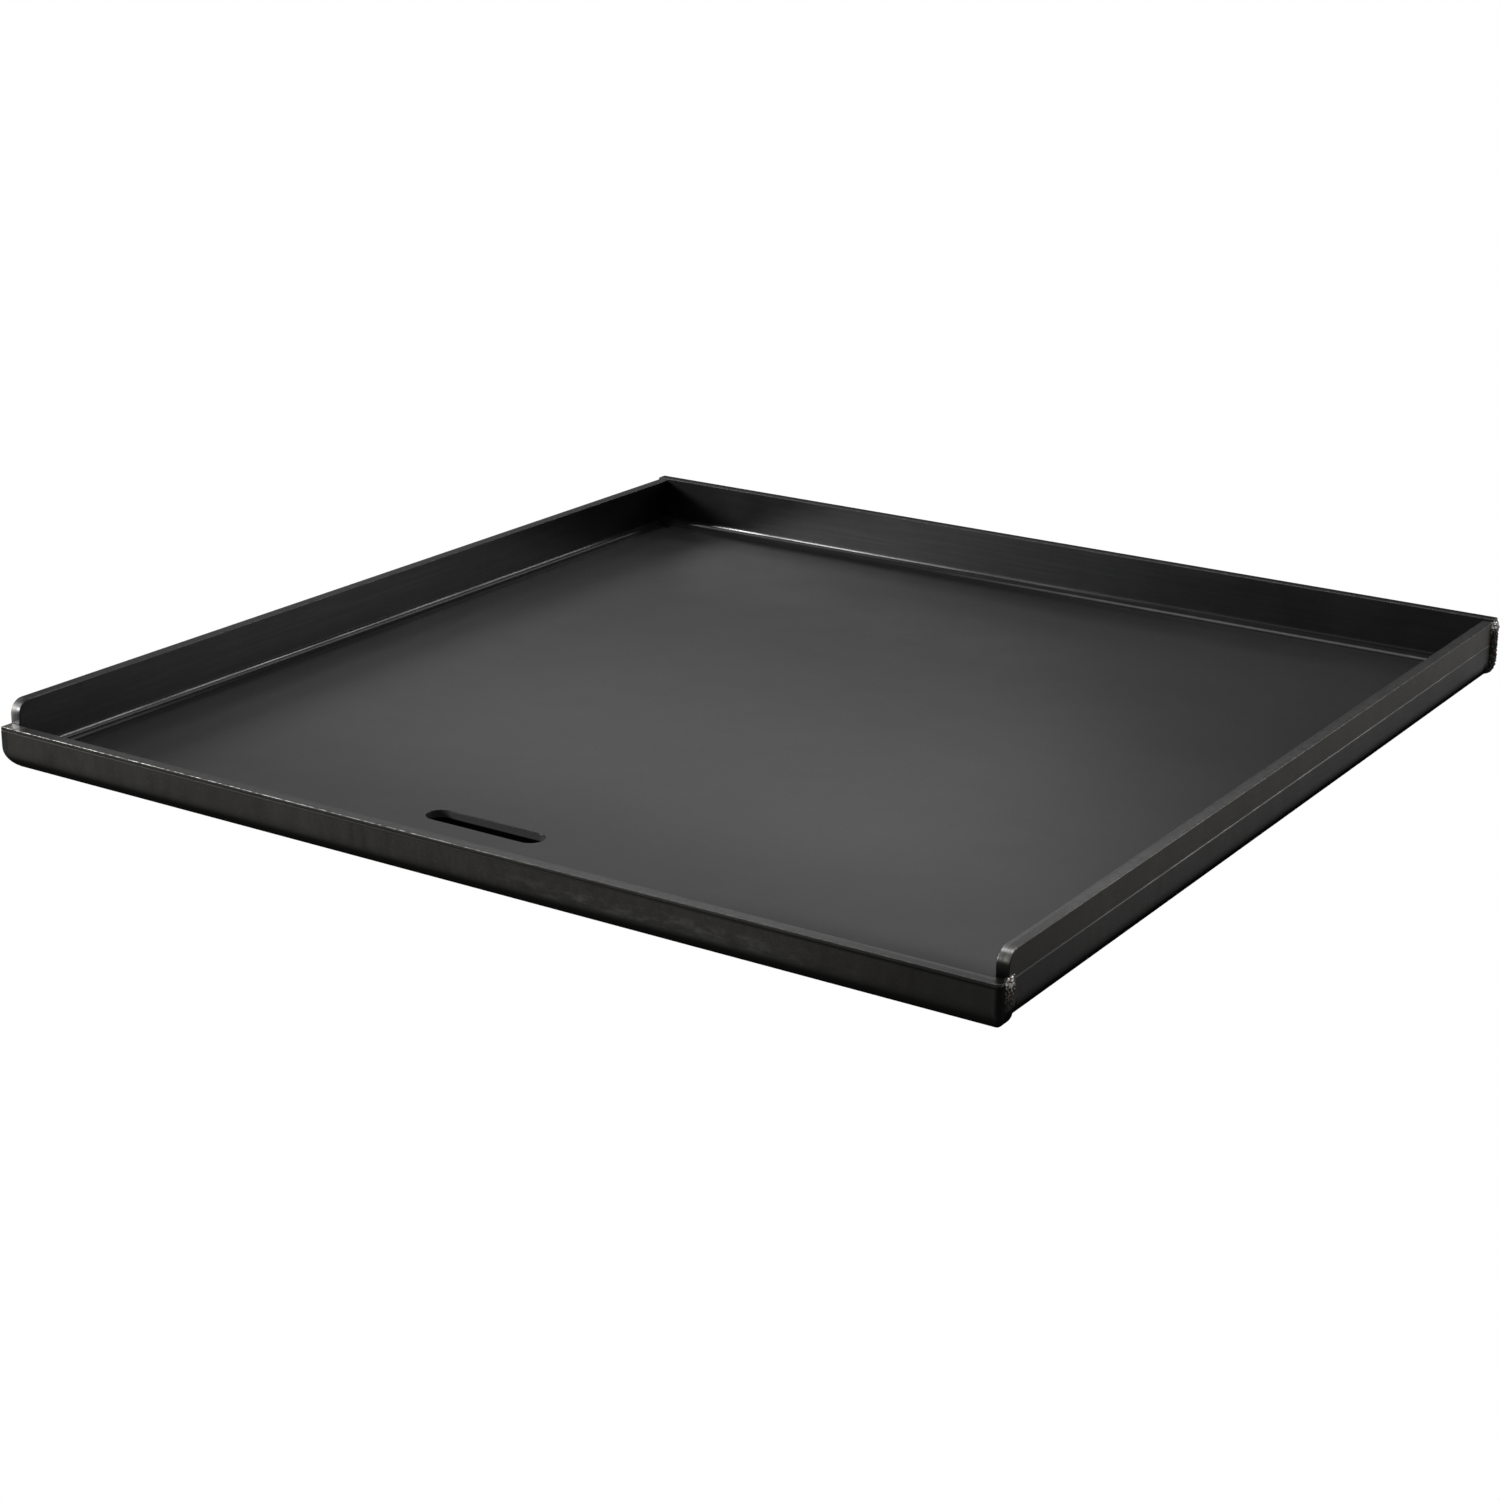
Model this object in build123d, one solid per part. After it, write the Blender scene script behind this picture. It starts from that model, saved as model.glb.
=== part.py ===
from build123d import *
import os

# Drop-in flat top griddle: one thick steel blank, folded up on all four sides and welded at its corners.
# Millimetres. +X is the right wall, +Y the back wall, +Z up. The origin is under the middle of the floor.

# Sheet and outside sizes
plate = 5.0                 # sheet thickness
width = 450.0               # across the outsides of the left and right walls
depth = 467.0               # from the front of the lip to the back of the back wall
side_height = 28.0          # left and right walls, from the underside
back_height = 29.0          # back wall
lip_height = 18.5           # front lip
inside_bend = 4.5           # inside radius of every fold
wall_end_radius = 6.0       # rounded upper front corner of each side wall
left_lip_corner = 10.5      # radius of the lip's lower left corner, seen from the front
right_lip_corner = 6.5      # radius of its lower right corner
lip_end_rounding = 1.8      # rounded edge round the right end of the lip's face
rim_rounding = 0.45         # broken edges along the top of the walls and lip

# Grease slot in the floor
slot_length = 53.6
slot_width = 11.0
slot_x = -20.7              # middle of the slot, left of the centre line
slot_y = -184.3
slot_land = 3.1             # depth of the clean punched land under the cooking surface
slot_flare = 0.5            # how much wider the slot is below that land, on each side
slot_rounding = 0.4         # rolled edge at the top of the punched slot

# Scored line that the bending die leaves on the outside of each wall
die_mark_height = 17.9      # on the tall walls
lip_mark_height = 16.9      # on the lip
die_mark_width = 0.9
die_mark_depth = 0.3

# Corners: the butt gap between wall ends, the bend relief under it, and the weld metal
seam_gap = 0.6
relief_width = 3.0
front_weld_offset = 6.8     # middle of a front bead, behind the face of the lip
front_weld_width = 6.4
front_weld_bottom = 7.5
front_weld_top = 19.6
rear_weld_offset = 3.1      # middle of a rear bead, ahead of the face of the back wall
rear_weld_width = 6.0
rear_weld_bottom = 2.4
rear_weld_top = 28.2
front_bead_rise = 1.1       # how far a front bead stands proud of the wall
rear_bead_rise = 2.0

outside_bend = inside_bend + plate
half_width = width / 2
half_depth = depth / 2
tall = back_height + 10     # taller than every wall, for cutting


def corner_at(sketch, y, z):
    """The vertex of a sketch nearest to a point given in its own plane."""
    return min(sketch.vertices(), key=lambda v: abs(v.X - y) + abs(v.Y - z))


def trough(half_span, bottom, left_radius, right_radius):
    """Section with a flat bottom and two rounded lower corners, open upwards past the walls."""
    section = make_face(Polyline((-half_span, bottom), (half_span, bottom),
                                 (half_span, tall), (-half_span, tall), close=True))
    section = fillet([corner_at(section, -half_span, bottom)], left_radius)
    return fillet([corner_at(section, half_span, bottom)], right_radius)


def side_view():
    """Outline of the griddle seen from its side: lip, side wall with its rounded front corner, back wall."""
    wall_front = -half_depth + plate + seam_gap
    wall_back = half_depth - plate
    outline = make_face(Polyline((-half_depth, 0), (half_depth, 0), (half_depth, back_height),
                                 (wall_back, back_height), (wall_back, side_height),
                                 (wall_front, side_height), (wall_front, lip_height),
                                 (-half_depth, lip_height), close=True))
    lower = [corner_at(outline, side * half_depth, 0) for side in (-1, 1)]
    outline = fillet(lower, outside_bend)
    return fillet([corner_at(outline, wall_front, side_height)], wall_end_radius)


def along_y(section, y_from, y_to):
    """A section in X and Z, extruded from one Y to another."""
    start = Plane(origin=(0, y_from, 0), x_dir=(1, 0, 0), z_dir=(0, -1, 0))
    return extrude(start * section, amount=y_from - y_to)


def along_x(section, half_span):
    """A section in Y and Z, extruded to both sides of the centre line."""
    return extrude(Plane.YZ * section, amount=half_span, both=True)


def envelope():
    """Everything inside the outer surface; the lip's lower corners have radii of their own."""
    lip_end = -half_depth + outside_bend
    lip_part = along_y(trough(half_width, 0, left_lip_corner, right_lip_corner), -half_depth - 1, lip_end)
    rest = along_y(trough(half_width, 0, outside_bend, outside_bend), lip_end, half_depth + 1)
    return along_x(side_view(), half_width + 1) & (lip_part + rest)


def well():
    """The hollow above the cooking floor."""
    across_section = trough(half_width - plate, plate, inside_bend, inside_bend)
    along_section = trough(half_depth - plate, plate, inside_bend, inside_bend)
    across = along_y(across_section, -half_depth + plate, half_depth - plate)
    along = along_x(along_section, half_width - plate)
    return across & along


def box_between(low, high):
    """A box given by its two opposite corners."""
    size = [b - a for a, b in zip(low, high)]
    middle = [(a + b) / 2 for a, b in zip(low, high)]
    return Pos(*middle) * Box(*size)


def corner_opening(side, end, top):
    """The bend relief slot, the cut above the fold and the butt gap at one corner, as one cutting shape."""
    face = end * half_depth
    fold = face - end * outside_bend
    x_edges = sorted((side * (half_width - outside_bend - 1), side * (half_width + 2)))

    def slab(y_one, y_two, z_low, z_high):
        y_low, y_high = sorted((y_one, y_two))
        return box_between((x_edges[0], y_low, z_low), (x_edges[1], y_high, z_high))

    gap_start = face - end * plate
    relief = slab(fold, fold - end * relief_width, -1, outside_bend + seam_gap)
    shelf = slab(gap_start, fold - end * relief_width, outside_bend, outside_bend + seam_gap)
    gap = slab(gap_start, gap_start - end * seam_gap, outside_bend, top + 1)
    return relief + shelf + gap


def die_mark(height, face, along):
    """A V groove run along one outer face; face is its place on X, or on Y for a cut along X."""
    half = die_mark_width / 2
    outward = 1 if face > 0 else -1
    groove = make_face(Polyline((face - outward * die_mark_depth, height),
                                (face + outward, height - 3 * half),
                                (face + outward, height + 3 * half), close=True))
    if along == "y":
        return along_y(groove, -half_depth - 1, half_depth + 1)
    return along_x(groove, half_width + 1)


def grease_slot():
    """Obround slot through the floor, clean above and flared below where the metal tore."""
    straight = slot_length - slot_width
    land_outline = SlotCenterToCenter(straight, slot_width)
    land = Pos(slot_x, slot_y, plate - slot_land) * extrude(land_outline, slot_land + 1)
    torn_width = slot_width + 2 * slot_flare
    torn = Pos(slot_x, slot_y, -1) * extrude(SlotCenterToCenter(straight, torn_width), plate - slot_land + 1)
    return land + torn


def edges_where(solid, test):
    """The edges of a solid whose middle point passes a test."""
    return [edge for edge in solid.edges() if test(edge.center())]


def folded_sheet():
    """The folded sheet before any cut, with the lip's right end and the rims rounded."""
    sheet = envelope() - well()

    def right_lip_end(middle):
        on_face = middle.Y < -half_depth + lip_end_rounding / 10
        on_fold = middle.Y < -half_depth + outside_bend / 2 and middle.Z < inside_bend
        return middle.X > half_width - outside_bend and (on_face or on_fold)

    def rim(middle):
        on_lip = abs(middle.Z - lip_height) < 0.01 and middle.Y < -half_depth + plate + 0.01
        on_side = middle.Z > lip_height + 0.5 and middle.Y < 0.4 * depth
        across_side = abs(abs(middle.X) - half_width + plate / 2) < 0.01
        return on_lip or on_side and not across_side or middle.Z > back_height - 0.01

    sheet = fillet(edges_where(sheet, right_lip_end), lip_end_rounding)
    return fillet(edges_where(sheet, rim), rim_rounding)


def blank_with_closed_corners():
    """The folded sheet with its die marks and its grease slot."""
    sheet = folded_sheet()
    for side in (-1, 1):
        sheet -= die_mark(die_mark_height, side * half_width, "y")
    sheet -= die_mark(die_mark_height, half_depth, "x")
    sheet -= die_mark(lip_mark_height, -half_depth, "x")
    sheet -= grease_slot()

    def slot_rim(middle):
        in_slot = abs(middle.X - slot_x) < slot_length and abs(middle.Y - slot_y) < slot_width
        return in_slot and middle.Z > plate - 0.01

    return fillet(edges_where(sheet, slot_rim), slot_rounding)


def seam_bead(side, offset_y, bead_width, bead_rise, bottom, top):
    """A long domed bead on the outside of a side wall; its back follows the wall, to be cut by the sheet."""
    half = bead_width / 2
    dome_radius = (half ** 2 + bead_rise ** 2) / (2 * bead_rise)
    centre_x = half_width + bead_rise - dome_radius
    dome = Pos(centre_x, offset_y, (bottom + top) / 2) * Cylinder(dome_radius, top - bottom)
    run = SlotOverall(top - bottom, bead_width, rotation=90)
    stretch = Plane(origin=(half_width - 4, offset_y, (bottom + top) / 2), x_dir=(0, 1, 0), z_dir=(1, 0, 0))
    bead = dome & extrude(stretch * run, amount=4 + 2 * bead_rise)
    return bead if side > 0 else mirror(bead, about=Plane.YZ)


os.makedirs("parts", exist_ok=True)

closed_sheet = blank_with_closed_corners()
corners = [("rear_left", -1, 1), ("rear_right", 1, 1), ("front_left", -1, -1), ("front_right", 1, -1)]
plate_body = closed_sheet
nodes = {}
for name, side, end in corners:
    opening = corner_opening(side, end, side_height if end > 0 else lip_height)
    nodes[name + "_relief_fill"] = closed_sheet & opening
    plate_body -= opening
nodes["griddle_plate"] = plate_body

y_profile = along_x(side_view(), half_width + 10)
for name, side, end in corners:
    if end > 0:
        bead = seam_bead(side, half_depth - rear_weld_offset, rear_weld_width, rear_bead_rise,
                         rear_weld_bottom, rear_weld_top)
    else:
        bead = seam_bead(side, front_weld_offset - half_depth, front_weld_width, front_bead_rise,
                         front_weld_bottom, front_weld_top)
    nodes[name + "_seam_weld"] = (bead & y_profile) - closed_sheet

for name, shape in nodes.items():
    export_step(shape, "parts/" + name + ".step")
    print(name, len(shape.solids()), "solid, volume", round(shape.volume))
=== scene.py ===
import math
import random
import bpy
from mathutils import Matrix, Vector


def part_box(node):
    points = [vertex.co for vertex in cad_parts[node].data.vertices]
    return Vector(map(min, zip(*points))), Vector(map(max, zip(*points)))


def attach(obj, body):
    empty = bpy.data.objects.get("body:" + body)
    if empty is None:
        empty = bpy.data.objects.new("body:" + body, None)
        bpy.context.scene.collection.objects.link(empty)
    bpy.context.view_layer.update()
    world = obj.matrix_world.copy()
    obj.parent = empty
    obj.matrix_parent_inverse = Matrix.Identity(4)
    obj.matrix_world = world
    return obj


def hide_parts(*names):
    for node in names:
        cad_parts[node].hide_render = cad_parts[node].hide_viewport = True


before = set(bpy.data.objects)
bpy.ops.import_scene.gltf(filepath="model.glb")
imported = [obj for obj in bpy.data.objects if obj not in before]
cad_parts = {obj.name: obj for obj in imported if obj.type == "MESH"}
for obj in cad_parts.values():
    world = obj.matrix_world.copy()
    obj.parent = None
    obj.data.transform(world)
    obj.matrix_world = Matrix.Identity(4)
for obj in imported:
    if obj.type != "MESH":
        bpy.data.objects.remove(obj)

from types import SimpleNamespace

import bpy
from mathutils import Matrix, Vector, noise

# Looks for the drop-in flat top griddle: oiled black steel, ground and worn edges, crusty corner welds.
# Metres, in the part's own frame: +X is the right wall, +Y the back wall, +Z up.

bpy.context.view_layer.update()
_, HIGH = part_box("griddle_plate")
HALF_WIDTH = HIGH.x
HALF_DEPTH = HIGH.y

# Places on the steel
PLATE = 0.005                   # sheet thickness
BEND = 0.0095                   # outside radius of the folds
LIP_TOP = 0.0185
LIP_BACK = -0.2285              # inside face of the lip
WALL_FRONT = 0.2285             # inside face of the back wall
WALL_MARK = 0.01775             # middle of the lower flank of the line scored on the side walls
LIP_MARK = 0.0169               # middle of the line scored on the lip
SLOT_X = -0.0207
SLOT_Y = -0.1843
SKIN = 0.0030                   # a point this close to the outside is on an outer face
MICROMETRE = 0.000001

# Colours of the steel, as reflectance
INSIDE = (0.0520, 0.0520, 0.0538), (0.0600, 0.0600, 0.0616)
FLOOR = (0.0480, 0.0480, 0.0494), (0.0550, 0.0550, 0.0564)
# painted reflection: lighter middle of the cooking floor
MIDDLE_SHEEN = (0.0870, 0.0870, 0.0882), (0.1040, 0.1038, 0.1050)
# painted shade: the cooking floor's front right
FRONT_RIGHT_SHADE = (0.0250, 0.0250, 0.0255)
ROLLED = (0.0900, 0.0895, 0.0900)
OUTSIDE = (0.0400, 0.0384, 0.0356), (0.0560, 0.0535, 0.0495)
OUTSIDE_CLOUD = (0.0500, 0.0486, 0.0464)
OUTSIDE_BAND = (0.0660, 0.0640, 0.0610)
BLOTCH = (0.0680, 0.0670, 0.0660)
GRAIN_DARK = (0.0300, 0.0300, 0.0305)
GRAIN_LIGHT = (0.0950, 0.0930, 0.0890)
RIM = (0.068, 0.068, 0.070), (0.098, 0.098, 0.099)
RIM_GRAIN = (0.120, 0.119, 0.118)
BARE = (0.31, 0.305, 0.295)
CHALK = (0.125, 0.124, 0.122)
# painted shade: the lip's scored groove
MARK_SHADE = (0.0150, 0.0148, 0.0145)
# burnished line, partly a painted highlight, and towards the front painted shade
BURNISHED_AND_LIT = (0.0160, 0.0158, 0.0152), (0.0820, 0.0805, 0.0770)
SHADE = (0.0160, 0.0158, 0.0155)
# painted shade: lower part of the right wall's front end rounding
GROUND_END_SHADE = (0.0130, 0.0128, 0.0125)
# ground metal, partly a painted highlight on the right end
GROUND_METAL_AND_HIGHLIGHT = (0.15, 0.147, 0.143), (0.32, 0.315, 0.305)
GROUND_ROUNDING = (0.085, 0.084, 0.082)
# painted shade: near black and without shine, low on the outsides and on the lip's right end
LOW_SHADE = (0.0080, 0.0078, 0.0075)
PUNCHED = (0.0430, 0.0430, 0.0434)
# painted shade: black in the torn bottom of the grease slot
TORN_SHADE = (0.0010, 0.0010, 0.0010)

# Studio
WORLD_DIM = 0.13                # strength of the world as a light; the camera sees it at 1
TABLE_GLOW = 0.04
SWEEP_Z = -0.0004
TABLE_Z = -0.0006
LIGHT_DISTANCE = 2.0


# ---------------------------------------------------------------- node helpers

class Graph:
    """A material's node tree, built from short calls that each return an output socket."""

    def __init__(self, name):
        self.material = bpy.data.materials.new(name)
        self.material.use_nodes = True
        self.tree = self.material.node_tree
        self.tree.nodes.clear()
        self.shader = self.tree.nodes.new("ShaderNodeBsdfPrincipled")
        self.out = self.tree.nodes.new("ShaderNodeOutputMaterial")
        self.tree.links.new(self.shader.outputs[0], self.out.inputs["Surface"])
        place = self.tree.nodes.new("ShaderNodeTexCoord")
        self.position = place.outputs["Object"]
        self.normal = place.outputs["Normal"]
        self.x, self.y, self.z = self.split(self.position)
        self.nx, self.ny, self.nz = self.split(self.normal)

    def put(self, value, socket):
        """Links a socket, or sets a plain number or colour."""
        if isinstance(value, bpy.types.NodeSocket):
            self.tree.links.new(value, socket)
        elif isinstance(value, (tuple, list)) and socket.type == "RGBA":
            socket.default_value = (*value[:3], 1.0)
        else:
            socket.default_value = value

    def split(self, vector):
        node = self.tree.nodes.new("ShaderNodeSeparateXYZ")
        self.put(vector, node.inputs[0])
        return node.outputs[0], node.outputs[1], node.outputs[2]

    def join(self, x, y, z):
        node = self.tree.nodes.new("ShaderNodeCombineXYZ")
        for value, socket in zip((x, y, z), node.inputs):
            self.put(value, socket)
        return node.outputs[0]

    def math(self, operation, *values, clamp=False):
        node = self.tree.nodes.new("ShaderNodeMath")
        node.operation = operation
        node.use_clamp = clamp
        for value, socket in zip(values, node.inputs):
            self.put(value, socket)
        return node.outputs[0]

    def add(self, *values):
        total = values[0]
        for value in values[1:]:
            total = self.math("ADD", total, value)
        return total

    def times(self, *values):
        total = values[0]
        for value in values[1:]:
            total = self.math("MULTIPLY", total, value)
        return total

    def most(self, *values):
        """The largest of several values."""
        total = values[0]
        for value in values[1:]:
            total = self.math("MAXIMUM", total, value)
        return total

    def size(self, value):
        return self.math("ABSOLUTE", value)

    def away(self, value, place):
        """Distance of a coordinate from a place on its axis."""
        return self.size(self.math("SUBTRACT", value, place))

    def inverse(self, value):
        return self.math("SUBTRACT", 1.0, value)

    def step(self, value, low, high, smooth=True):
        """0 below low, 1 above high; the other way round when low is the larger."""
        node = self.tree.nodes.new("ShaderNodeMapRange")
        node.interpolation_type = "SMOOTHSTEP" if smooth else "LINEAR"
        flip = low > high
        self.put(value, node.inputs["Value"])
        node.inputs["From Min"].default_value = min(low, high)
        node.inputs["From Max"].default_value = max(low, high)
        node.inputs["To Min"].default_value = 1.0 if flip else 0.0
        node.inputs["To Max"].default_value = 0.0 if flip else 1.0
        return node.outputs["Result"]

    def noise(self, feature, detail=2.0, rough=0.55, stretch=(1, 1, 1), twist=0.0, seed=0.0, vector=None):
        """Noise from 0 to 1 whose features are about so many metres across."""
        place = self.tree.nodes.new("ShaderNodeVectorMath")
        place.operation = "MULTIPLY_ADD"
        self.put(vector or self.position, place.inputs[0])
        place.inputs[1].default_value = [s / feature for s in stretch]
        place.inputs[2].default_value = (seed * 3.1, seed * 5.3, seed * 7.7)
        node = self.tree.nodes.new("ShaderNodeTexNoise")
        self.put(place.outputs[0], node.inputs["Vector"])
        node.inputs["Scale"].default_value = 1.0
        node.inputs["Detail"].default_value = detail
        node.inputs["Roughness"].default_value = rough
        node.inputs["Distortion"].default_value = twist
        return node.outputs["Fac"]

    def cells(self, feature):
        """Distance to the nearest cell centre, for pits painted dark as shade."""
        node = self.tree.nodes.new("ShaderNodeTexVoronoi")
        self.put(self.position, node.inputs["Vector"])
        node.inputs["Scale"].default_value = 1.0 / feature
        return node.outputs["Distance"]

    def mix(self, factor, one, two, blend="MIX"):
        node = self.tree.nodes.new("ShaderNodeMix")
        node.data_type = "RGBA"
        node.blend_type = blend
        node.clamp_factor = True
        colours = [s for s in node.inputs if s.type == "RGBA"]
        self.put(factor, node.inputs[0])
        self.put(one, colours[0])
        self.put(two, colours[1])
        return [s for s in node.outputs if s.type == "RGBA"][0]

    def blend(self, factor, one, two):
        """A number between one and two."""
        node = self.tree.nodes.new("ShaderNodeMix")
        node.data_type = "FLOAT"
        node.clamp_factor = True
        numbers = [s for s in node.inputs if s.type == "VALUE" and s.name != "Factor"]
        self.put(factor, node.inputs[0])
        self.put(one, numbers[0])
        self.put(two, numbers[1])
        return [s for s in node.outputs if s.type == "VALUE"][0]

    def bump(self, height):
        """Relief whose height is given in micrometres."""
        node = self.tree.nodes.new("ShaderNodeBump")
        node.inputs["Strength"].default_value = 1.0
        node.inputs["Distance"].default_value = MICROMETRE
        self.put(height, node.inputs["Height"])
        return node.outputs[0]

    def glow(self, colour, strength):
        """Turns the shader into a plain light of its own, without a shine."""
        self.put(colour, self.shader.inputs["Emission Color"])
        self.shader.inputs["Emission Strength"].default_value = strength
        self.shader.inputs["Specular IOR Level"].default_value = 0.0

    def finish(self, colour, roughness, normal=None, metallic=1.0):
        self.put(colour, self.shader.inputs["Base Color"])
        self.put(roughness, self.shader.inputs["Roughness"])
        self.put(metallic, self.shader.inputs["Metallic"])
        if normal is not None:
            self.put(normal, self.shader.inputs["Normal"])
        return self.material


# ---------------------------------------------------------------- black steel

def steel_places(g):
    """Masks, from 0 to 1, that say where on the griddle a point is."""
    at = SimpleNamespace()
    above_bends = g.step(g.z, BEND + 0.0020, BEND + 0.0030)
    at.over_lip_mark = g.times(g.step(g.z, 0.0176, 0.0179), g.step(g.y, LIP_BACK + 0.0005, LIP_BACK + 0.0001))
    top_zone = g.most(g.step(g.z, LIP_TOP, LIP_TOP + 0.0002), at.over_lip_mark)
    at.flat_up = g.times(g.step(g.nz, 0.70, 0.93), top_zone)
    at.outer_x = g.step(g.size(g.x), HALF_WIDTH - SKIN - 0.0006, HALF_WIDTH - SKIN)
    at.outer_y = g.step(g.size(g.y), HALF_DEPTH - SKIN - 0.0006, HALF_DEPTH - SKIN)
    below = g.step(g.z, PLATE - 0.0001, PLATE - 0.0006)
    at.outside = g.most(at.outer_x, at.outer_y, below)
    at.lip_face = g.times(at.outer_y, g.step(g.y, -0.10, -0.20))
    facing = g.most(g.size(g.nx), g.size(g.ny), g.size(g.nz))
    at.edge = g.times(g.step(facing, 0.985, 0.86), top_zone, g.step(g.nz, 0.10, 0.35))
    at.along_y = g.step(g.math("SUBTRACT", g.size(g.nx), g.size(g.ny)), -0.05, 0.05)
    at.bend = g.times(g.step(facing, 0.995, 0.95), g.inverse(above_bends))
    on_floor = g.step(g.z, PLATE + 0.0010, PLATE + 0.0005)
    at.floor = g.times(g.step(g.nz, 0.95, 0.99), on_floor, g.inverse(at.outside))
    at.inner_wall = g.times(g.inverse(at.floor), above_bends)
    at.floor_front_right = g.times(g.step(g.y, -0.185, -0.205), g.step(g.x, 0.020, 0.200))
    at.on_right = g.step(g.x, -0.01, 0.01)
    return at


def steel_patterns(g, at):
    """Noises from wide smoke to fine grain. Streaks run along the fold or wall they are on."""
    run = g.join(g.blend(at.along_y, g.x, g.y), g.blend(at.along_y, g.y, g.x), g.z)
    return SimpleNamespace(
        smoke=g.noise(0.110, 2.0, 0.5, twist=0.6, seed=1.3),
        cloud=g.noise(0.028, 3.0, 0.55, seed=4.1),
        blotch=g.noise(0.0085, 3.0, 0.6, seed=7.7),
        grain=g.noise(0.0011, 1.0, 0.6, seed=2.9),
        fine=g.noise(0.00042, 0.0, 0.5, seed=5.2),
        streaks=g.noise(0.0012, 2.0, 0.6, stretch=(0.02, 1, 1), seed=8.8, vector=run),
        smear=g.noise(0.0050, 3.0, 0.6, stretch=(1, 1, 0.28), seed=3.6),
        bands=g.noise(0.0150, 2.0, 0.5, stretch=(1, 1, 0.12), seed=9.4),
        broken=g.noise(0.0026, 3.0, 0.65, seed=6.6),
        scratch=g.noise(0.0007, 2.0, 0.6, stretch=(1, 0.06, 0.06), seed=11.0),
    )


def inside_colour(g, at, look, burnished_highlight):
    """The cooking floor with its lighter middle, a painted reflection, and its front right painted darker as
    shade; the inner walls; and the folds, painted dark as shade, with their burnished line, partly a painted
    highlight that fades along the back.
    """
    floor = g.mix(look.smoke, *FLOOR)
    # painted reflection: the middle of the cooking floor made lighter
    middle_sheen = g.times(g.step(g.y, -0.200, -0.100), g.step(g.y, 0.130, -0.060))
    middle_sheen = g.times(middle_sheen, g.step(g.x, 0.235, 0.090), g.step(g.x, -0.260, -0.080))
    floor = g.mix(middle_sheen, floor, g.mix(look.smoke, *MIDDLE_SHEEN))
    # painted shade: the cooking floor darker towards the front right
    floor = g.mix(g.times(at.floor_front_right, 0.55), floor, FRONT_RIGHT_SHADE)
    colour = g.mix(at.floor, g.mix(look.smoke, *INSIDE), floor)
    rolled = g.times(g.step(look.streaks, 0.42, 0.66), at.inner_wall)
    colour = g.mix(g.times(rolled, 0.22), colour, ROLLED)
    # painted highlight and shade on the folds: the burnished line, picked by which way it faces, fades along
    # the back towards the right, and the rest of each fold is dark
    back_highlight_fade = g.blend(g.step(g.x, 0.210, -0.140), 0.024, 0.085)
    fold = g.blend(burnished_highlight, 0.026, g.blend(at.along_y, back_highlight_fade, 0.140))
    return g.mix(g.times(at.bend, 0.9), colour, fold)


def outside_colour(g, at, look):
    """Browner steel, smeared and banded upright, warmer above the side walls' scored line."""
    colour = g.mix(g.step(look.smear, 0.32, 0.68), *OUTSIDE)
    colour = g.mix(g.step(look.cloud, 0.35, 0.75), colour, OUTSIDE_CLOUD)
    colour = g.mix(g.times(g.step(look.bands, 0.45, 0.70), 0.4), colour, OUTSIDE_BAND)
    tint = g.mix(g.step(g.z, 0.0174, 0.0182), (0.95, 0.98, 1.03), (1.03, 1.00, 0.93))
    return g.mix(at.outer_x, colour, g.mix(1.0, colour, tint, "MULTIPLY"))


def add_grain(g, at, look, colour):
    """Blotches everywhere, dark grain everywhere and light grain outside."""
    colour = g.mix(g.times(g.step(look.blotch, 0.45, 0.75), 0.15), colour, BLOTCH)
    colour = g.mix(g.times(g.step(look.grain, 0.55, 0.75), 0.16), colour, GRAIN_DARK)
    return g.mix(g.times(g.step(look.grain, 0.46, 0.30), at.outside, 0.22), colour, GRAIN_LIGHT)


def rim_painted_light_and_shade(g, at):
    """Painted light and shade on the rims: the right one fades towards the back, the back one is the darkest.
    """
    right = g.blend(g.step(g.y, -0.22, 0.22, smooth=False), 1.30, 0.60)
    sides = g.blend(g.step(g.x, 0.0, -0.01), right, 0.47)
    back = g.blend(g.step(g.y, 0.2295, 0.2325), 0.36, 0.13)
    tone = g.blend(g.step(g.y, WALL_FRONT - 0.0001, WALL_FRONT + 0.0002), sides, back)
    return g.blend(at.over_lip_mark, tone, 1.0)


def add_rims(g, at, look, colour, rim_painted_light):
    """Flat rims, and bare metal where their broken edges are worn, most of all on the lip's left half, where
    the worn edge is also a painted highlight.
    """
    rim = g.mix(g.step(look.broken, 0.30, 0.70), *RIM)
    rim = g.mix(g.times(g.step(look.grain, 0.45, 0.65), 0.35), rim, RIM_GRAIN)
    # painted light and shade: each rim's colour scaled by how it is lit
    colour = g.mix(at.flat_up, colour, g.mix(1.0, rim, rim_painted_light, "MULTIPLY"))
    # painted highlight: the worn edge made strongest along the lip's left half
    lip_left_highlight = g.times(at.over_lip_mark, g.step(g.x, 0.060, -0.020))
    wear_and_highlight = g.times(at.edge, g.step(look.broken, 0.40, 0.62), g.blend(lip_left_highlight, 0.12, 0.90))
    return g.mix(wear_and_highlight, colour, BARE)


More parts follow.
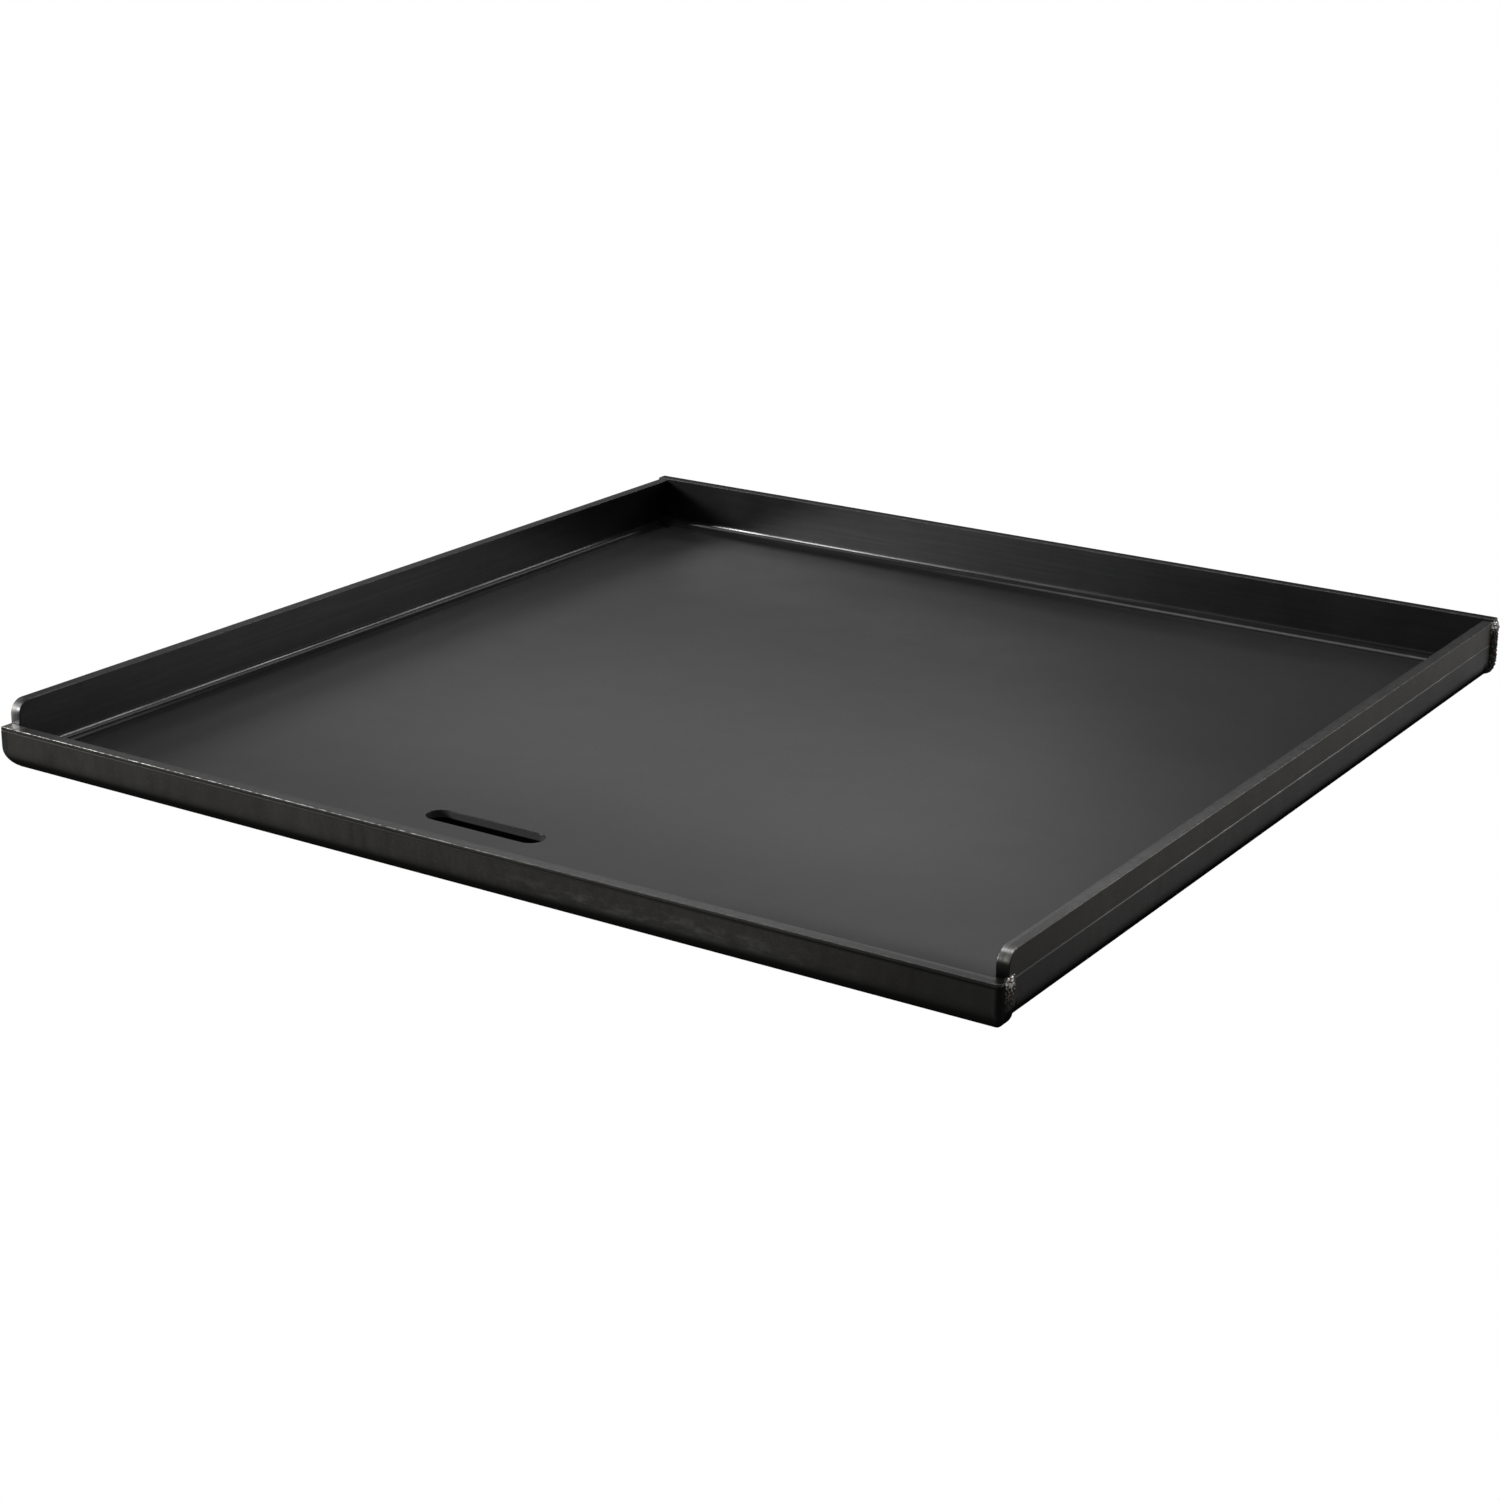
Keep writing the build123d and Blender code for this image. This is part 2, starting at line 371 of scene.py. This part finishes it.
def add_lip_marks(g, at, colour):
    """Chalky scuffs across the right half of the lip, and the scored line along it, painted dark as shade in
    its groove.
    """
    zone = g.times(at.lip_face, g.step(g.x, 0.010, 0.060), g.step(g.x, 0.190, 0.120))
    zone = g.times(zone, g.step(g.z, 0.0060, 0.0090), g.step(g.z, 0.0145, 0.0110))
    scuffs = g.noise(0.0030, 4.0, 0.7, stretch=(0.35, 1, 1), seed=12.0)
    colour = g.mix(g.times(zone, g.step(scuffs, 0.42, 0.66), 0.60), colour, CHALK)
    # painted shade in the lip's scored groove
    line = g.times(g.step(g.away(g.z, LIP_MARK), 0.00060, 0.00042), at.lip_face)
    return g.mix(g.times(line, 0.85), colour, MARK_SHADE)


def shade_outside(g, at, colour):
    """Brightens the side walls a little, and darkens them towards the front and the lip to its right."""
    colour = g.mix(at.outer_x, colour, (1.14, 1.135, 1.12), "MULTIPLY")
    lip = g.times(at.lip_face, g.step(g.x, 0.120, 0.220), 0.62)
    wall = g.times(at.outer_x, g.step(g.y, -0.150, -0.225), 0.50)
    return g.mix(g.most(lip, wall), colour, SHADE)


def ground_places(g, at):
    """Where a grinder dressed the front ends of the side walls, and a patch on the lip's left end. On the
    right end the bright upward-facing part is also a painted highlight, and the part below it is painted dark
    as shade.
    """
    end = g.times(g.step(g.y, -0.2190, -0.2245), g.step(g.z, LIP_TOP - 0.0004, LIP_TOP + 0.0004))
    end = g.times(end, g.step(g.ny, 0.05, -0.25))
    patch = g.times(g.step(g.x, -0.2135, -0.2165), g.step(g.y, -0.2255, -0.2275), at.flat_up)
    left = g.times(end, g.step(g.x, -0.2205, -0.2235), 0.60)
    # painted highlight: the right end's upward-facing part
    right = g.times(end, at.on_right, g.step(g.nz, 0.25, 0.50), 0.60)
    return SimpleNamespace(
        # painted shade: the right end's lower part
        dull_and_shade=g.times(end, at.on_right, g.step(g.nz, 0.38, 0.10)),
        all=g.most(left, right, patch),
        left_rounding=g.times(left, g.step(g.nz, 0.06, 0.20)),
    )


def add_ground_ends(g, look, colour, ground):
    # painted shade on the right end's lower part
    colour = g.mix(g.times(ground.dull_and_shade, 0.85), colour, GROUND_END_SHADE)
    metal = g.mix(g.step(look.scratch, 0.30, 0.70), *GROUND_METAL_AND_HIGHLIGHT)
    metal = g.mix(ground.left_rounding, metal, GROUND_ROUNDING)
    return g.mix(ground.all, colour, metal)


def add_die_line(g, at, look, colour):
    """Line on the side walls where the die pressed: burnished, partly a painted highlight on its
    upward-facing flank, and dark towards the front as painted shade.
    """
    line = g.step(g.away(g.z, WALL_MARK), 0.00050, 0.00020)
    # upward-facing flank only: partly a painted highlight
    line = g.times(line, at.outer_x, g.step(g.nz, 0.02, 0.15))
    burnish = g.add(0.45, g.times(g.step(look.bands, 0.35, 0.65), 0.55))
    burnish = g.times(g.step(g.y, -0.235, -0.060), burnish)
    return g.mix(line, colour, g.mix(burnish, *BURNISHED_AND_LIT))


def shaded_lip_end(g):
    """The lip's right end, up to just below its top, which is painted dark as shade."""
    across = g.times(g.step(g.x, 0.2222, 0.2236), g.step(g.y, -0.2276, -0.2284))
    return g.times(across, g.step(g.z, 0.0182, 0.0172), 0.9)


def steel_low_shade(g, at):
    """Painted shade low on the outsides, a little lower down on the lip than on the walls."""
    height = g.add(g.z, g.blend(at.outer_y, 0.0006, 0.0017))
    return g.most(g.times(g.step(height, 0.0112, 0.0066), at.outside), shaded_lip_end(g))


def slot_places(g):
    """The punched wall of the grease slot, and the torn part below it, which is painted black as shade."""
    zone = g.times(g.step(g.away(g.x, SLOT_X), 0.0315, 0.0305), g.step(g.away(g.y, SLOT_Y), 0.0085, 0.0078))
    wall = g.times(zone, g.step(g.z, PLATE - 0.00002, PLATE - 0.0002))
    return wall, g.times(zone, g.step(g.z, 0.0022, 0.0018))


def steel_roughness(g, at, look, ground, torn):
    rough = g.add(0.235, g.times(look.smoke, 0.06), g.times(look.cloud, 0.05), g.times(look.grain, 0.04))
    rough = g.blend(at.outside, rough, g.add(0.27, g.times(look.smear, 0.10), g.times(look.grain, 0.05)))
    rough = g.blend(at.flat_up, rough, g.add(0.32, g.times(look.broken, 0.14)))
    rough = g.blend(at.bend, rough, g.add(0.13, g.times(look.streaks, 0.12)))
    rough = g.blend(ground.all, rough, g.add(0.28, g.times(look.scratch, 0.16)))
    rough = g.blend(ground.left_rounding, rough, 0.56)
    return g.blend(torn, rough, 0.9)


def steel_relief(g, at, look):
    """Height of the surface in micrometres."""
    tooling = g.times(look.streaks, g.add(g.times(at.bend, 14.0), g.times(at.outside, 4.0)))
    nicks = g.times(look.broken, g.most(g.times(at.edge, 70.0), g.times(at.flat_up, 25.0)))
    skin = g.add(g.times(look.blotch, 10.0), g.times(look.grain, 6.0), g.times(look.fine, 3.0))
    return g.add(skin, tooling, nicks)


def steel_dullness_and_shade(g, at, look, burnished_highlight, rim_painted_light):
    """Duller oxide, which takes the shine off as well as the colour: random cloudy patches, and painted shade
    on the darker rims, on the folds beside their line, and on the cooking floor near the back, the left wall
    and the front right.
    """
    # painted shade: the darker rims and the folds beside their line lose their shine
    rim = g.times(at.flat_up, g.inverse(g.math("MINIMUM", rim_painted_light, 1.0)), 0.85)
    fold = g.times(at.bend, g.inverse(burnished_highlight), g.inverse(at.outside), 0.45)
    # painted shade on the cooking floor near the back, the left wall and the front right
    rear_amount = g.add(0.20, g.times(g.step(g.x, 0.0, 0.12), 0.34))
    rear = g.times(at.floor, g.step(g.y, 0.040, 0.190), rear_amount)
    left = g.times(at.floor, g.step(g.x, -0.170, -0.205), 0.25)
    front = g.times(at.floor, at.floor_front_right, 0.35)
    cloudy = g.times(g.step(look.cloud, 0.30, 0.75), 0.07)
    return g.add(rim, fold, rear, left, front, cloudy)


def black_steel():
    """Hot-rolled plate, oiled and baked dark: satin cooking floor, browner outside, worn bright edges."""
    g = Graph("black_steel")
    at = steel_places(g)
    look = steel_patterns(g, at)
    # the burnished line on the inner folds, where they face the light: partly a painted highlight
    burnished_highlight = g.times(g.step(g.nz, 0.20, 0.28), g.step(g.nz, 0.44, 0.34), g.step(look.streaks, 0.25, 0.60))
    rim_painted_light = rim_painted_light_and_shade(g, at)
    ground = ground_places(g, at)
    low_shade = steel_low_shade(g, at)
    slot_wall, torn = slot_places(g)

    colour = g.mix(at.outside, inside_colour(g, at, look, burnished_highlight), outside_colour(g, at, look))
    colour = add_grain(g, at, look, colour)
    colour = add_rims(g, at, look, colour, rim_painted_light)
    colour = add_lip_marks(g, at, colour)
    colour = shade_outside(g, at, colour)
    colour = add_ground_ends(g, look, colour, ground)
    colour = add_die_line(g, at, look, colour)
    # painted shade low on the outsides and on the lip's right end
    colour = g.mix(low_shade, colour, LOW_SHADE)
    colour = g.mix(slot_wall, colour, PUNCHED)
    # painted shade: the torn bottom of the slot made black
    colour = g.mix(torn, colour, TORN_SHADE)

    rough = steel_roughness(g, at, look, ground, torn)
    # random duller patches together with painted shade
    dull_and_shade = steel_dullness_and_shade(g, at, look, burnished_highlight, rim_painted_light)
    metallic = g.times(g.inverse(low_shade), g.math("SUBTRACT", 1.0, dull_and_shade, clamp=True))
    g.shader.inputs["Specular IOR Level"].default_value = 0.0
    return g.finish(colour, rough, g.bump(steel_relief(g, at, look)), metallic)


# ---------------------------------------------------------------- other materials

def weld_metal():
    """Raw weld bead: dark scale with pits painted dark as shade, a little rust, and bright flecks high on
    each bead, partly a painted glint.
    """
    g = Graph("weld_metal")
    lumps = g.noise(0.0022, 3.0, 0.65, twist=0.5, seed=1.1)
    flecks = g.noise(0.0009, 3.0, 0.7, seed=2.2)
    grit = g.noise(0.0003, 1.0, 0.6, seed=3.3)
    rust = g.noise(0.0030, 3.0, 0.6, seed=4.4)
    pits = g.cells(0.0011)
    colour = g.mix(lumps, (0.012, 0.012, 0.012), (0.055, 0.053, 0.050))
    colour = g.mix(g.times(g.step(rust, 0.52, 0.70), 0.8), colour, (0.110, 0.052, 0.026))
    # painted glint: bright flecks gathered high on each bead
    rear_crumbs = g.step(g.z, 0.0215, 0.0255)
    front_crumbs = g.times(g.step(g.z, 0.0125, 0.0175), g.step(g.y, 0.1, 0.0))
    crumbs_and_glint = g.most(rear_crumbs, front_crumbs)
    fleck_zone = g.step(g.add(flecks, g.times(crumbs_and_glint, 0.10)), 0.57, 0.66)
    bright = g.times(fleck_zone, g.add(0.25, g.times(crumbs_and_glint, 0.75)))
    colour = g.mix(bright, colour, (0.82, 0.80, 0.77))
    # painted shade: dark pits, which have no relief of their own
    colour = g.mix(g.step(pits, 0.30, 0.14), colour, (0.004, 0.004, 0.004))
    rough = g.blend(bright, g.add(0.45, g.times(grit, 0.3)), 0.28)
    relief = g.add(g.times(lumps, 150.0), g.times(flecks, 150.0), g.times(grit, 50.0))
    return g.finish(colour, rough, g.bump(relief))


def ground_weld():
    """Weld metal in the seams, dressed nearly flush and darkened with the plate, with the plate's painted
    shade low down.
    """
    g = Graph("ground_weld")
    lumps = g.noise(0.0016, 3.0, 0.6, twist=0.4, seed=6.1)
    cloud = g.noise(0.0060, 3.0, 0.6, seed=7.1)
    fine = g.noise(0.0004, 1.0, 0.5, seed=8.1)
    colour = g.mix(cloud, (0.030, 0.029, 0.028), (0.058, 0.056, 0.053))
    colour = g.mix(g.times(g.step(lumps, 0.55, 0.72), 0.5), colour, (0.010, 0.010, 0.010))
    # painted shade low down and on the lip's right end, as on the plate
    low_shade = g.most(g.step(g.z, 0.0115, 0.0068), shaded_lip_end(g))
    colour = g.mix(low_shade, colour, LOW_SHADE)
    rough = g.add(0.30, g.times(cloud, 0.2), g.times(fine, 0.06))
    relief = g.add(g.times(lumps, 60.0), g.times(fine, 10.0))
    g.shader.inputs["Specular IOR Level"].default_value = 0.0
    return g.finish(colour, rough, g.bump(relief), g.inverse(low_shade))


def white_sweep():
    """What the camera sees of the studio floor: plain white paper, with a painted near-black shadow only
    where the griddle covers it.
    """
    g = Graph("white_sweep")
    edge, inner = 0.0105, 0.0125
    covered_x = g.step(g.size(g.x), HALF_WIDTH - edge, HALF_WIDTH - inner)
    covered_y = g.step(g.size(g.y), HALF_DEPTH - edge, HALF_DEPTH - inner)
    # painted shadow: near black under the griddle, seen only through the grease slot
    g.glow(g.mix(g.times(covered_x, covered_y), (1.0, 1.0, 1.0), (0.001, 0.001, 0.001)), 1.0)
    return g.finish((0.0, 0.0, 0.0), 0.9, metallic=0.0)


def table_top():
    """What the steel reflects in place of the sweep: a grey table that the camera doesn't see."""
    g = Graph("table_top")
    wash = g.noise(0.9, 1.0, 0.5, seed=3.0)
    g.glow(g.mix(wash, (0.9, 0.9, 0.9), (1.0, 1.0, 1.0)), TABLE_GLOW)
    return g.finish((0.45, 0.45, 0.45), 0.9, metallic=0.0)


# ---------------------------------------------------------------- weld beads

BEAD_ROWS = 110
BEAD_COLUMNS = 26
RIPPLE_PITCH = 0.0016
BEAD_ROOT = 0.0006              # how far a bead's back is sunk into the wall


def outer_face(half, z):
    """Distance of an outer face from the middle at a height: upright wall, then the lower bend."""
    if z >= BEND:
        return half
    drop = BEND - max(z, 0.0)
    return half - BEND + math.sqrt(max(BEND ** 2 - drop ** 2, 0.0))


def ragged(z, edge, seed, amount):
    """Uneven edge of a bead, in metres."""
    return noise.fractal(Vector((z * 420, edge, seed)), 0.7, 2.0, 3) * amount


def bead_points(side, inner, outer_y, heights, rise, seed, fullness):
    """Front and back points of a rippled bead, row by row from its foot to its head."""
    inner_foot, inner_head, power = inner
    z_low, z_high = heights
    rng = random.Random(seed)
    shift = Vector((rng.uniform(0, 50), rng.uniform(0, 50), rng.uniform(0, 50)))
    front = []
    back = []
    for i in range(BEAD_ROWS + 1):
        s = i / BEAD_ROWS
        z = z_low + (z_high - z_low) * s
        limit = outer_face(HALF_DEPTH, z) - 0.0002
        y_in = inner_foot + (inner_head - inner_foot) * s ** power + ragged(z, 1.7, seed, 0.0006)
        y_out = outer_y + ragged(z, 7.7, seed, 0.0005)
        y_in = max(-limit, min(limit, y_in))
        y_out = max(-limit, min(limit, y_out))
        ends = max(0.0, 1 - abs(2 * s - 1) ** 14) ** 0.5
        wall = outer_face(HALF_WIDTH, z)
        for j in range(BEAD_COLUMNS + 1):
            t = 2 * j / BEAD_COLUMNS - 1
            y = y_in + (y_out - y_in) * (t + 1) / 2
            crown = max(0.0, 1 - abs(t) ** 2.4) ** 0.6
            wobble = noise.noise(Vector((z * 300, y * 300, seed)))
            phase = z / RIPPLE_PITCH + 0.35 * t * t + 0.35 * wobble
            ripple = 0.5 + 0.5 * math.cos(2 * math.pi * phase)
            at = Vector((z, y, 0)) * 900 + shift
            lump = noise.fractal(at * 0.5, 0.8, 2.0, 3)
            grit = noise.fractal(at * 2.2, 0.7, 2.1, 3)
            height = rise * crown * ends * (fullness + 0.16 * ripple + 0.30 * lump + 0.16 * grit)
            height = max(0.0, min(rise, height))
            x = wall + height - 0.00008 * (1 - crown)
            front.append(Vector((side * x, y, z)))
            back.append(Vector((side * (wall - BEAD_ROOT), y, z)))
    return front + back


def bead_faces():
    """A grid for the front, one for the back, and a strip round the rim that joins them."""
    width = BEAD_COLUMNS + 1
    offset = (BEAD_ROWS + 1) * width
    faces = []
    for i in range(BEAD_ROWS):
        for j in range(BEAD_COLUMNS):
            a = i * width + j
            faces.append((a, a + 1, a + width + 1, a + width))
            b = offset + a
            faces.append((b, b + width, b + width + 1, b + 1))
    rim = list(range(width))
    rim += [i * width + BEAD_COLUMNS for i in range(1, BEAD_ROWS + 1)]
    rim += [BEAD_ROWS * width + j for j in range(BEAD_COLUMNS - 1, -1, -1)]
    rim += [i * width for i in range(BEAD_ROWS - 1, 0, -1)]
    for a, b in zip(rim, rim[1:] + rim[:1]):
        faces.append((b, a, offset + a, offset + b))
    return faces


def bead(node, side, inner, outer_y, heights, rise, seed, fullness):
    """A rough weld bead on the outside of a side wall, in place of the CAD's plain one."""
    mesh = bpy.data.meshes.new(node + "_bead")
    mesh.from_pydata(bead_points(side, inner, outer_y, heights, rise, seed, fullness), [], bead_faces())
    if side < 0:
        mesh.flip_normals()
    mesh.polygons.foreach_set("use_smooth", [True] * len(mesh.polygons))
    mesh.update()
    piece = bpy.data.objects.new(node + "_bead", mesh)
    bpy.context.scene.collection.objects.link(piece)
    piece.data.materials.append(WELD)
    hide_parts(node)
    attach(piece, "root")


BEADS = [
    # node, side, inner edge's Y at foot and head with the power of its curve, outer edge's Y,
    # heights of foot and head, rise, seed, fullness
    ("rear_right_seam_weld", 1, (0.2276, 0.2262, 4.0), 0.2334, (0.0036, 0.0281), 0.00190, 11, 0.88),
    ("rear_left_seam_weld", -1, (0.2276, 0.2268, 2.0), 0.2333, (0.0040, 0.0276), 0.00130, 12, 0.80),
    ("front_right_seam_weld", 1, (-0.2232, -0.2236, 1.0), -0.2300, (0.0076, 0.0194), 0.00105, 13, 0.62),
    ("front_left_seam_weld", -1, (-0.2232, -0.2238, 1.0), -0.2298, (0.0078, 0.0180), 0.00075, 14, 0.62),
]


# ---------------------------------------------------------------- studio

def softbox(name, azimuth, elevation, width, height, radiance):
    """An area light aimed at the origin. Azimuth turns from +Y towards +X; radiance is its face's."""
    a, e = math.radians(azimuth), math.radians(elevation)
    place = LIGHT_DISTANCE * Vector((math.sin(a) * math.cos(e), math.cos(a) * math.cos(e), math.sin(e)))
    light = bpy.data.lights.new(name, "AREA")
    light.shape = "RECTANGLE"
    light.size = width
    light.size_y = height
    light.energy = radiance * math.pi * width * height
    lamp = bpy.data.objects.new(name, light)
    lamp.matrix_world = Matrix.Translation(place) @ (-place).to_track_quat("-Z", "Y").to_matrix().to_4x4()
    lamp.visible_camera = False
    bpy.context.scene.collection.objects.link(lamp)


SOFTBOXES = [
    # name, azimuth, elevation, width, height, radiance
    ("back_left_low", -41, 17, 1.30, 0.35, 0.32),
    ("back_left_high", -34, 34, 1.10, 0.35, 1.9),
    ("back_right_low", 38, 17, 0.75, 0.35, 5.0),
    ("back_right_high", 31, 34, 1.10, 0.35, 4.2),
    ("key_low", -128, 17, 0.95, 0.35, 34.0),
    ("key_high", -120, 38, 0.70, 0.50, 6.0),
    ("top_left", -88, 72, 0.80, 0.60, 5.5),
    ("back_high", 0, 60, 0.90, 0.60, 2.8),
]


def make_camera(place, yaw, pitch, roll, lens):
    """A long lens from the front right, a little above the walls. Angles are in degrees."""
    yaw, pitch, roll = math.radians(yaw), math.radians(pitch), math.radians(roll)
    forward = Vector((-math.sin(yaw) * math.cos(pitch), math.cos(yaw) * math.cos(pitch), -math.sin(pitch)))
    level = Vector((math.cos(yaw), math.sin(yaw), 0.0))
    above = level.cross(forward)
    right = math.cos(roll) * level + math.sin(roll) * above
    up = math.cos(roll) * above - math.sin(roll) * level
    turn = Matrix((right, up, -forward)).transposed().to_4x4()
    camera = bpy.data.objects.new("camera", bpy.data.cameras.new("camera"))
    camera.data.sensor_width = 36.0
    camera.data.lens = lens
    camera.data.clip_start = 0.01
    camera.matrix_world = Matrix.Translation(place) @ turn
    bpy.context.scene.collection.objects.link(camera)
    bpy.context.scene.camera = camera


def make_world():
    """White to the camera, dim grey as a light."""
    world = bpy.data.worlds.new("studio")
    bpy.context.scene.world = world
    world.use_nodes = True
    tree = world.node_tree
    tree.nodes.clear()
    out = tree.nodes.new("ShaderNodeOutputWorld")
    ray = tree.nodes.new("ShaderNodeLightPath")
    mix = tree.nodes.new("ShaderNodeMixShader")
    tree.links.new(ray.outputs["Is Camera Ray"], mix.inputs[0])
    for socket, strength in ((1, WORLD_DIM), (2, 1.0)):
        sky = tree.nodes.new("ShaderNodeBackground")
        sky.inputs[0].default_value = (1, 1, 1, 1)
        sky.inputs[1].default_value = strength
        tree.links.new(sky.outputs[0], mix.inputs[socket])
    tree.links.new(mix.outputs[0], out.inputs["Surface"])


def floor_plane(name, material, z):
    """A wide level plane that isn't part of the object."""
    reach = 6
    corners = [(-reach, -reach, 0), (reach, -reach, 0), (reach, reach, 0), (-reach, reach, 0)]
    mesh = bpy.data.meshes.new(name)
    mesh.from_pydata(corners, [], [(0, 1, 2, 3)])
    plane = bpy.data.objects.new(name, mesh)
    plane.location = (0, 0, z)
    mesh.materials.append(material)
    bpy.context.scene.collection.objects.link(plane)
    return plane


# ---------------------------------------------------------------- the scene

STEEL = black_steel()
WELD = weld_metal()
SEAM = ground_weld()

for node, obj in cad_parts.items():
    obj.data.materials.clear()
    obj.data.materials.append(STEEL if node == "griddle_plate" else SEAM)

for row in BEADS:
    bead(*row)

make_camera(place=(0.6178, -1.0003, 0.3931), yaw=32.533, pitch=19.049, roll=0.880, lens=70.089)
make_world()

sweep = floor_plane("studio_sweep", white_sweep(), SWEEP_Z)
for kind in ("diffuse", "glossy", "transmission", "volume_scatter", "shadow"):
    setattr(sweep, "visible_" + kind, False)
table = floor_plane("studio_table", table_top(), TABLE_Z)
table.visible_camera = False

for box in SOFTBOXES:
    softbox(*box)

scene = bpy.context.scene
scene.view_settings.view_transform = "Standard"
scene.view_settings.look = "None"
scene.view_settings.exposure = 0.0
scene.view_settings.gamma = 1.0

bpy.context.view_layer.update()
